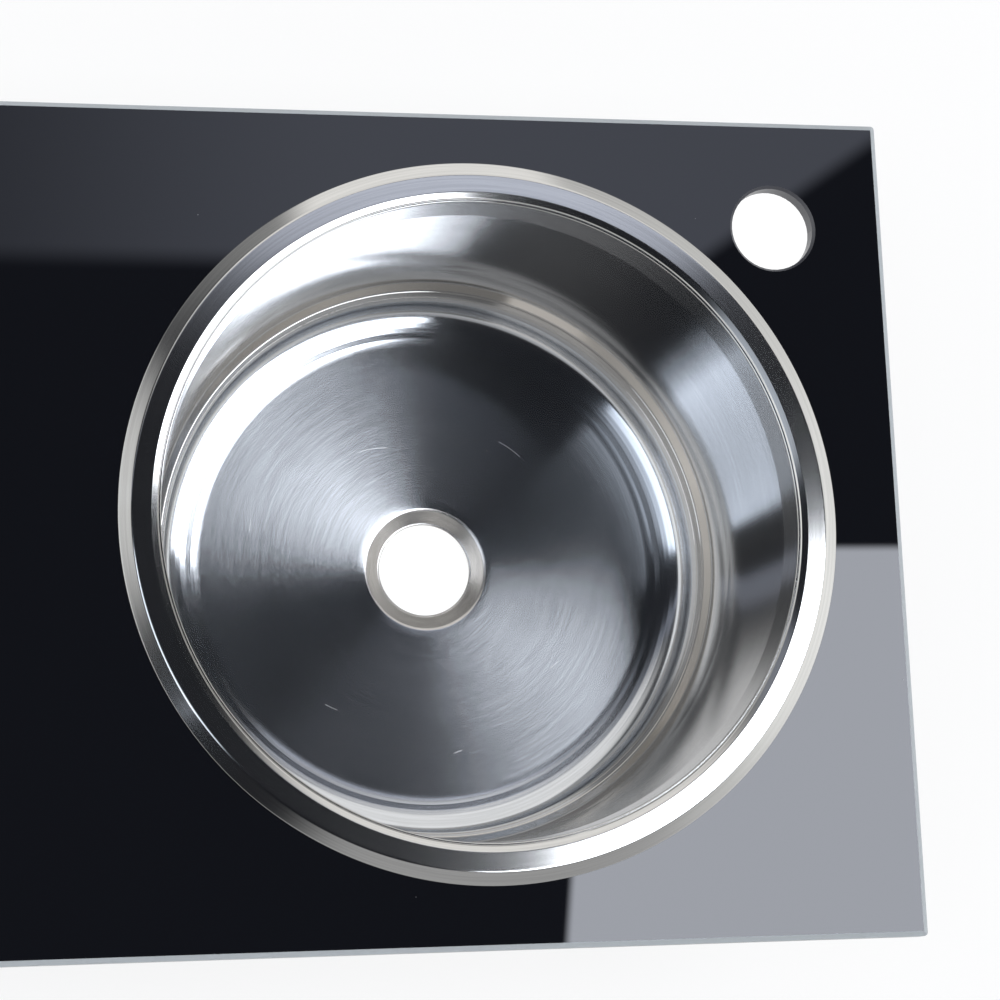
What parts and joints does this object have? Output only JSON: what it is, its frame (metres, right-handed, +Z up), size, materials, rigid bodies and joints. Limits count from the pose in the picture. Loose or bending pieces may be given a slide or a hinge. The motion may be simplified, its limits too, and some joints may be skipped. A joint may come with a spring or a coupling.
{
  "type": "hob and sink combination unit",
  "caption": "Dark glass worktop plate with a round steel sink bowl, a tap hole and a gas hob end with burners, pan supports and push-and-turn knobs.",
  "frame": {"origin": "centre of the glass plate's outline, at worktop level under its foam seal", "axes": "+X right along the plate towards the sink end, +Y to the rear, +Z up"},
  "size_m": [0.86, 0.37, 0.1793],
  "materials": {
    "black_glass": "gloss, ground bevel edge",
    "foam_seal": "matt",
    "bowl_steel": "polished wall and rim, turned base",
    "black_rubber": "matt",
    "zinc_sheet": "satin",
    "silicone": "matt",
    "zinc_screw": "bright zinc",
    "cast_alloy": "fine cast",
    "brass": "machined",
    "polished_steel": "polished",
    "ceramic": "glazed",
    "copper": "drawn",
    "black_enamel": "satin enamel",
    "enamelled_iron": "matt enamel",
    "steel_tube": "drawn",
    "spring_steel": "bright wire",
    "knob_black": "satin",
    "module_black": "matt",
    "lead_silicone": "matt"
  },
  "bodies": {
    "worktop_unit": {"glass_top": "black_glass", "edge_seal": "foam_seal", "sink_bowl": "bowl_steel", "sink_gasket": "black_rubber", "hob_casing": "zinc_sheet", "casing_bond": "silicone", "worktop_clamps": "zinc_sheet", "clamp_screws": "zinc_screw", "bridge_large": "zinc_sheet", "bridge_small": "zinc_sheet", "bridge_rivets": "zinc_screw", "burner_cup_large": "cast_alloy", "burner_cup_small": "cast_alloy", "cup_screws": "zinc_screw", "injector_large": "brass", "injector_small": "brass", "drip_ring_large": "polished_steel", "drip_ring_small": "polished_steel", "electrode_large": "ceramic", "electrode_small": "ceramic", "thermocouple_large": "copper", "thermocouple_small": "copper", "gas_rail": "steel_tube", "rail_brackets": "zinc_sheet", "inlet_pipe": "copper", "inlet_nut": "brass", "valve_large": "cast_alloy", "valve_small": "cast_alloy", "valve_bonnets": "polished_steel", "bonnet_screws": "zinc_screw", "feed_pipe_large": "cast_alloy", "feed_pipe_small": "cast_alloy", "pipe_nuts": "brass", "return_spring_large": "spring_steel", "return_spring_small": "spring_steel", "stem_grommet_large": "black_rubber", "stem_grommet_small": "black_rubber", "ignition_module": "module_black", "module_screws": "zinc_screw", "ignition_leads": "lead_silicone", "thermocouple_leads": "copper"},
    "head_large": {"burner_head_large": "cast_alloy"},
    "head_small": {"burner_head_small": "cast_alloy"},
    "cap_large": {"burner_cap_large": "black_enamel"},
    "cap_small": {"burner_cap_small": "black_enamel"},
    "support_large": {"pan_support_large": "enamelled_iron", "support_feet_large": "black_rubber"},
    "support_small": {"pan_support_small": "enamelled_iron", "support_feet_small": "black_rubber"},
    "plunger_large": {"push_pin_large": "steel_tube"},
    "plunger_small": {"push_pin_small": "steel_tube"},
    "control_large": {"stem_large": "steel_tube", "knob_large": "knob_black"},
    "control_small": {"stem_small": "steel_tube", "knob_small": "knob_black"}
  },
  "joints": [
    {"name": "push_large", "type": "slide", "parent": "worktop_unit", "child": "plunger_large", "axis": [0, 0, -1], "range_m": [0, 0.0045], "stiffness_N_per_m": 500, "springref_m": -0.01, "deforming": ["return_spring_large"]},
    {"name": "turn_large", "type": "hinge", "parent": "plunger_large", "child": "control_large", "pos_m": [-0.315, -0.125, 0.02], "axis": [0, 0, 1], "range_deg": [0, 210]},
    {"name": "lift_support_large", "type": "slide", "parent": "worktop_unit", "child": "support_large", "axis": [0, 0, 1], "range_m": [0, 0.06]},
    {"name": "lift_head_large", "type": "slide", "parent": "worktop_unit", "child": "head_large", "axis": [0, 0, 1], "range_m": [0, 0.04]},
    {"name": "lift_cap_large", "type": "slide", "parent": "head_large", "child": "cap_large", "axis": [0, 0, 1], "range_m": [0, 0.03]},
    {"name": "push_small", "type": "slide", "parent": "worktop_unit", "child": "plunger_small", "axis": [0, 0, -1], "range_m": [0, 0.0045], "stiffness_N_per_m": 500, "springref_m": -0.01, "deforming": ["return_spring_small"]},
    {"name": "turn_small", "type": "hinge", "parent": "plunger_small", "child": "control_small", "pos_m": [-0.105, -0.125, 0.02], "axis": [0, 0, 1], "range_deg": [0, 210]},
    {"name": "lift_support_small", "type": "slide", "parent": "worktop_unit", "child": "support_small", "axis": [0, 0, 1], "range_m": [0, 0.06]},
    {"name": "lift_head_small", "type": "slide", "parent": "worktop_unit", "child": "head_small", "axis": [0, 0, 1], "range_m": [0, 0.04]},
    {"name": "lift_cap_small", "type": "slide", "parent": "head_small", "child": "cap_small", "axis": [0, 0, 1], "range_m": [0, 0.03]}
  ]
}
